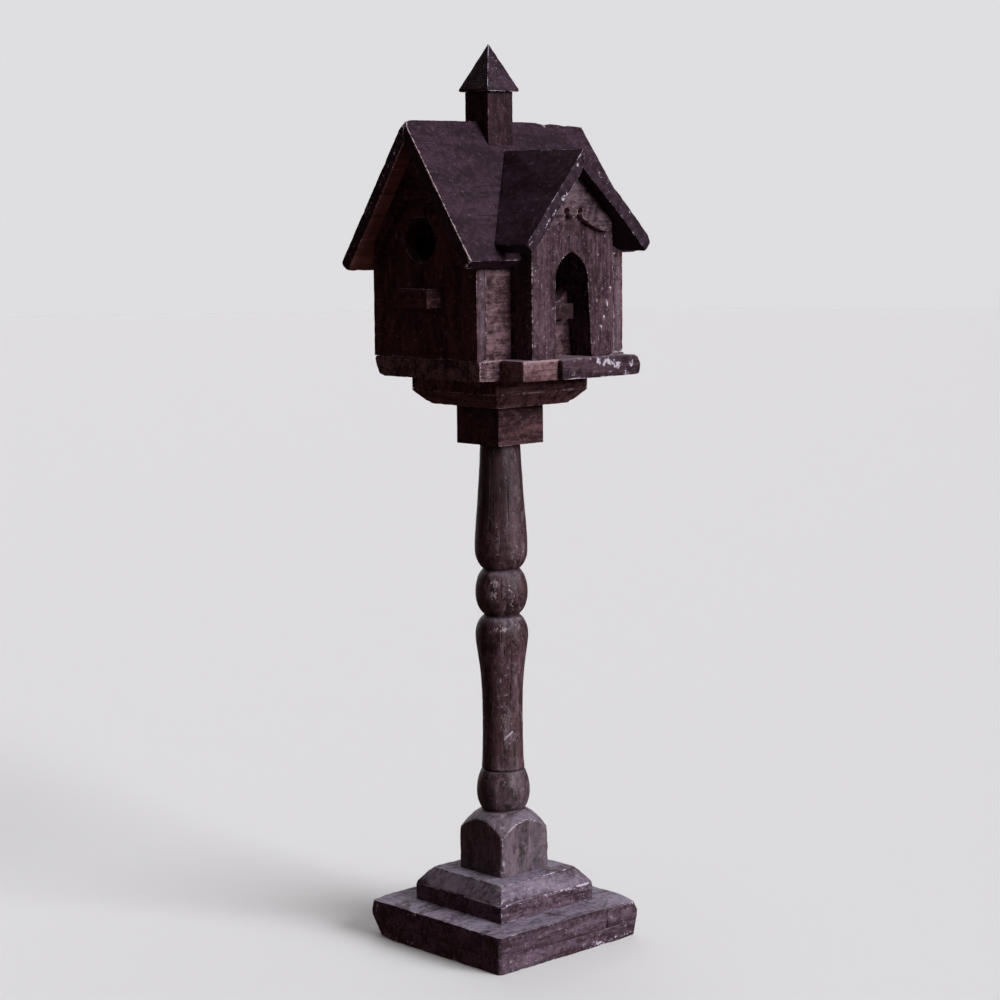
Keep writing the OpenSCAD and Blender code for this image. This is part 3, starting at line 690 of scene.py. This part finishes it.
board("cupola_cap", roof_wood("cupola_cap", 29, (0, 0, 0), wear_level=0.5, bump=0.9), "roof_wood",
      cell=2.2, radius=0.35, nick=0.7, corner=0.3, seed=29,
      bare=[((-13.5, -13.5, 547), (-3, -3, 571), 1.2, 0.45),
            ((0, -12, 549), (2, -5, 565), 2.2, 0.4)])

# ---------------------------------------------------------------- post

POST_TURNS = 256
POST_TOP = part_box("top_block")[0].z
FOOT_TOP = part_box("bevelled_step_board")[1].z + 26 * MM
LOW_GROOVE = 112.1
POST_CRACKS = (  # angle in radians, low and high level in mm, depth and half width in mm
    (-1.93, 150, 205, 0.5, 0.4), (-2.02, 262, 300, 0.4, 0.4), (-1.2, 120, 175, 0.7, 0.4),
    (-2.55, 60, 84, 0.7, 0.5), (-1.5, 52, 76, 0.5, 0.4), (0.9, 140, 215, 1.0, 0.5),
    (2.3, 250, 310, 0.8, 0.5), (-2.35, 222, 242, 0.6, 0.5), (-0.9, 226, 238, 0.5, 0.4),
)


def post_levels(cad):
    """Levels of the post's rings: every 0.9 mm, and where the CAD surface is narrow."""
    levels = np.array([v.co.z for v in cad.vertices])
    bottom = levels.min()
    radii = np.array([math.hypot(v.co.x, v.co.y) for v in cad.vertices])
    narrow = sorted({round(z, 5) for z, r in zip(levels, radii) if 0.008 < r < 0.0125})
    rows = list(np.arange(bottom + 0.8 * MM, POST_TOP - 0.2 * MM, 0.9 * MM))
    rows = sorted(rows + [z for z in narrow if bottom + 1 * MM < z < POST_TOP - 1 * MM])
    rows = [z for z, after in zip(rows, rows[1:]) if after - z > 0.05 * MM]
    return [bottom] + rows + [POST_TOP]


def post_wear(a, at, r, past, in_foot):
    """How far the post is worn in at a point, in mm: uneven surface, foot corners, cracks."""
    inset = 0.12 + 0.12 * noise.noise(at / 9)
    if in_foot and past > 20:
        on_corner = max(0.0, 1 - abs(math.cos(2 * a)) * 9)
        inset += on_corner * (1.0 + 0.7 * noise.noise(at / 6))
    inset += 0.9 * max(0.0, 1 - abs(at.z - LOW_GROOVE) / 0.8)
    for angle, low, high, depth, width in POST_CRACKS:
        if low < at.z < high:
            wave = angle + 0.02 * noise.noise(Vector((at.z / 9, angle, 0)))
            gap = abs((a - wave + math.pi) % (2 * math.pi) - math.pi) * r
            fade = min(1.0, (at.z - low) / 8, (high - at.z) / 8)
            inset += depth * fade * max(0.0, 1 - gap / width)
    return inset


def post_gaps(rows, radius, reach):
    """Distance of each point to a worn place, and to the nearest groove, in mm."""
    height = np.array(rows)
    flat = np.array(reach).reshape(len(rows), POST_TURNS) > 20.85
    # the foot's upright corners, and the arches where its flats end
    near = np.full(flat.shape, 9.0)
    near[height < FOOT_TOP] = np.abs(((np.arange(POST_TURNS) * 8 / POST_TURNS) % 2) - 1) * 21
    arch = np.where(flat, height[:, None], 0).max(axis=0)
    near = np.minimum(near, np.abs(height[:, None] - arch) / MM)
    # grooves: levels where the outline is at its narrowest between two swellings
    outline = np.array(radius).reshape(flat.shape).mean(axis=1)
    grooves = [
        height[i]
        for i in range(6, len(rows) - 6)
        if height[i] > FOOT_TOP - 4 * MM
        and outline[i] == outline[i - 4:i + 5].min()
        and min(outline[i - 4], outline[i + 4]) > outline[i] + 0.4 * MM
    ]
    gap = np.min(np.abs(height[:, None] - np.array(grooves)[None]), axis=1) / MM
    return near.ravel(), np.repeat(gap, POST_TURNS)


def post_piece():
    """The turned post rebuilt round its axis from the CAD surface, with cracks along the grain."""
    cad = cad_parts["turned_post"].data
    tree = BVHTree.FromPolygons(
        [v.co.copy() for v in cad.vertices], [list(p.vertices) for p in cad.polygons]
    )
    rows = post_levels(cad)
    bm = bmesh.new()
    rings, radius, reach = [], [], []
    for z in rows:
        ring = []
        for k in range(POST_TURNS):
            a = 2 * math.pi * k / POST_TURNS
            out = Vector((math.cos(a), math.sin(a), 0))
            inside = min(max(z, rows[0] + 1e-5), POST_TOP - 1e-5)
            hit = tree.ray_cast(out * 0.06 + Vector((0, 0, inside)), -out)[0]
            r = math.hypot(hit.x, hit.y) if hit else 0.012
            past = r / MM * max(abs(out.x), abs(out.y))
            at = Vector((out.x * r, out.y * r, z)) / MM
            r -= post_wear(a, at, r / MM, past, z < FOOT_TOP) * MM
            ring.append(bm.verts.new((out.x * r, out.y * r, z)))
            radius.append(r)
            reach.append(past)
        rings.append(ring)
    for low, high in zip(rings, rings[1:]):
        for k in range(POST_TURNS):
            n = (k + 1) % POST_TURNS
            bm.faces.new((low[k], low[n], high[n], high[k]))
    bm.faces.new(list(reversed(rings[0])))
    bm.faces.new(rings[-1])
    return bm, *post_gaps(rows, radius, reach)


post_mesh, post_edge, groove_gap = post_piece()
post_points = np.array([v.co for v in post_mesh.verts])


def on_post(angle, z):
    """The point of the post's surface at that angle in degrees and level in mm."""
    turned = np.degrees(np.arctan2(post_points[:, 1], post_points[:, 0]))
    off = np.abs((turned - angle + 180) % 360 - 180) + np.abs(post_points[:, 2] / MM - z)
    return tuple(post_points[np.argmin(off)] / MM)


post_bare = marks([
    (on_post(-128, 134), on_post(-104, 138), 0.9, 0.95),
    (on_post(-134, 172), on_post(-128, 140), 4.0, 0.36),
    (on_post(-145, 238), on_post(-150, 228), 5.0, 0.46),
    (on_post(-112, 236), on_post(-108, 222), 4.0, 0.38),
    (on_post(-145, 205), on_post(-120, 208), 4.5, 0.44),
    (on_post(-145, 106), on_post(-125, 100), 4.0, 0.4),
    (on_post(-140, 272), on_post(-115, 268), 4.0, 0.32),
    (on_post(-135, 50), on_post(-135, 78), 3.5, 0.45),
], post_points)
post_level = post_points[:, 2] / MM
# painted shade: the post is darker towards its top, under the house, and in its grooves
post_soot = np.clip((post_level - 230) / 60, 0, 1) * 0.6 + np.clip(1.3 - groove_gap / 1.2, 0, 1)
post_haze = 0.36 * np.clip(1 - (post_level - 60) / 60, 0, 1)
# on the post the grey thin patches (under, peel) are partly thin stain, partly painted sheen of the
# varnish
post_material = timber("post_wood", POST_DARK, POST_LIGHT, "z", seed=6, wear=srgb(160, 148, 158),
                       under=srgb(106, 92, 98), wear_level=0.44, wear_width=1.8, dust=DUST,
                       dust_amount=0.45, speck=0.7, scratch=0.6, blotch=0.5, streak=0.7, peel=0.6,
                       gloss=0.3, rough=(0.42, 0.7))
finish_piece(
    post_mesh, "turned_post_worn", post_material, "turned_post", "post_wood",
    edge=post_edge, bare=post_bare, soot=post_soot, haze=post_haze,
)

# ---------------------------------------------------------------- fixings


def steel(name):
    g = Graph(name)
    even = g.coords((0, 0, 0), (0, 0, 0), (1, 1, 1))
    rust = g.noise(even, 300.0, 5.0, 0.6)
    colour = g.mix(g.step(rust, 0.4, 0.6), (0.035, 0.025, 0.025), (0.06, 0.03, 0.024))
    relief = g.node("ShaderNodeBump", {"Height": rust, "Strength": 0.5, "Distance": 0.0002})
    shader = g.node(
        "ShaderNodeBsdfPrincipled",
        {"Base Color": colour, "Roughness": g.step(rust, 0.3, 0.7, 0.45, 0.85),
         "Metallic": 0.3, "Normal": relief.outputs[0]},
    )
    g.tree.links.new(shader.outputs[0], g.out.inputs["Surface"])
    return g.material


fixing_steel = steel("old_steel")
for node in ("base_screws", "head_screws", "wall_nails"):
    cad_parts[node].data.materials.clear()
    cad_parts[node].data.materials.append(fixing_steel)

# ---------------------------------------------------------------- stage, light and camera


def stage_piece(name, bm, material):
    mesh = bpy.data.meshes.new(name)
    bm.to_mesh(mesh)
    bm.free()
    mesh.materials.append(material)
    piece = bpy.data.objects.new(name, mesh)
    bpy.context.scene.collection.objects.link(piece)
    return piece


def backdrop():
    """Pale floor, and a pale dome behind it that only the camera sees."""
    g = Graph("pale_floor")
    colour = (*srgb(227, 229, 228), 1)
    shader = g.node("ShaderNodeBsdfPrincipled", {"Base Color": colour, "Roughness": 0.85})
    g.tree.links.new(shader.outputs[0], g.out.inputs["Surface"])
    bm = bmesh.new()
    bmesh.ops.create_circle(bm, cap_ends=True, radius=9, segments=96)
    floor = stage_piece("floor", bm, g.material)
    floor.visible_diffuse = floor.visible_glossy = False

    g = Graph("pale_dome")
    glow = g.node("ShaderNodeEmission", {"Color": (*srgb(223, 222, 224), 1), "Strength": 1.0})
    g.tree.links.new(glow.outputs[0], g.out.inputs["Surface"])
    bm = bmesh.new()
    bmesh.ops.create_icosphere(bm, subdivisions=4, radius=8.9)
    dome = stage_piece("dome", bm, g.material)
    dome.visible_diffuse = dome.visible_glossy = dome.visible_shadow = False
    dome.visible_transmission = False


def soft_sun(name, azimuth, elevation, energy, spread, colour):
    """A broad sun. azimuth turns from -Y towards +X; all angles in degrees."""
    data = bpy.data.lights.new(name, "SUN")
    data.energy = energy
    data.angle = math.radians(spread)
    data.color = colour
    lamp = bpy.data.objects.new(name, data)
    a, e = math.radians(azimuth), math.radians(elevation)
    lamp.rotation_mode = "QUATERNION"
    lamp.rotation_quaternion = Vector(
        (-math.sin(a) * math.cos(e), math.cos(a) * math.cos(e), -math.sin(e))
    ).to_track_quat("-Z", "Y")
    bpy.context.scene.collection.objects.link(lamp)


backdrop()
soft_sun("window", 14, 24, 4.2, 36, (0.98, 0.97, 1.0))
soft_sun("overhead", 60, 78, 0.7, 60, (0.9, 0.94, 1.0))
soft_sun("behind", 150, 18, 1.1, 60, (0.98, 0.97, 1.0))

world = bpy.data.worlds.new("studio")
bpy.context.scene.world = world
world.use_nodes = True
world.node_tree.nodes["Background"].inputs["Color"].default_value = (1.0, 0.6, 0.56, 1)
world.node_tree.nodes["Background"].inputs["Strength"].default_value = 0.085

CAMERA_PLACE, CAMERA_LENS = (-1.0638, -1.1391, 0.4817), 87.83
YAW, PITCH, ROLL = (math.radians(v) for v in (-43.027, -7.091, -0.531))
ahead = Vector((-math.sin(YAW) * math.cos(PITCH), math.cos(YAW) * math.cos(PITCH), math.sin(PITCH)))
right = Vector((math.cos(YAW), math.sin(YAW), 0))
upward = right.cross(ahead)
tilted_right = right * math.cos(ROLL) + upward * math.sin(ROLL)
tilted_up = upward * math.cos(ROLL) - right * math.sin(ROLL)
camera_data = bpy.data.cameras.new("camera")
camera_data.sensor_width = 36
camera_data.lens = CAMERA_LENS
camera = bpy.data.objects.new("camera", camera_data)
camera.matrix_world = Matrix.Translation(CAMERA_PLACE) @ Matrix(
    (tilted_right, tilted_up, -ahead)
).transposed().to_4x4()
bpy.context.scene.collection.objects.link(camera)
bpy.context.scene.camera = camera
bpy.context.scene.view_settings.view_transform = "Standard"
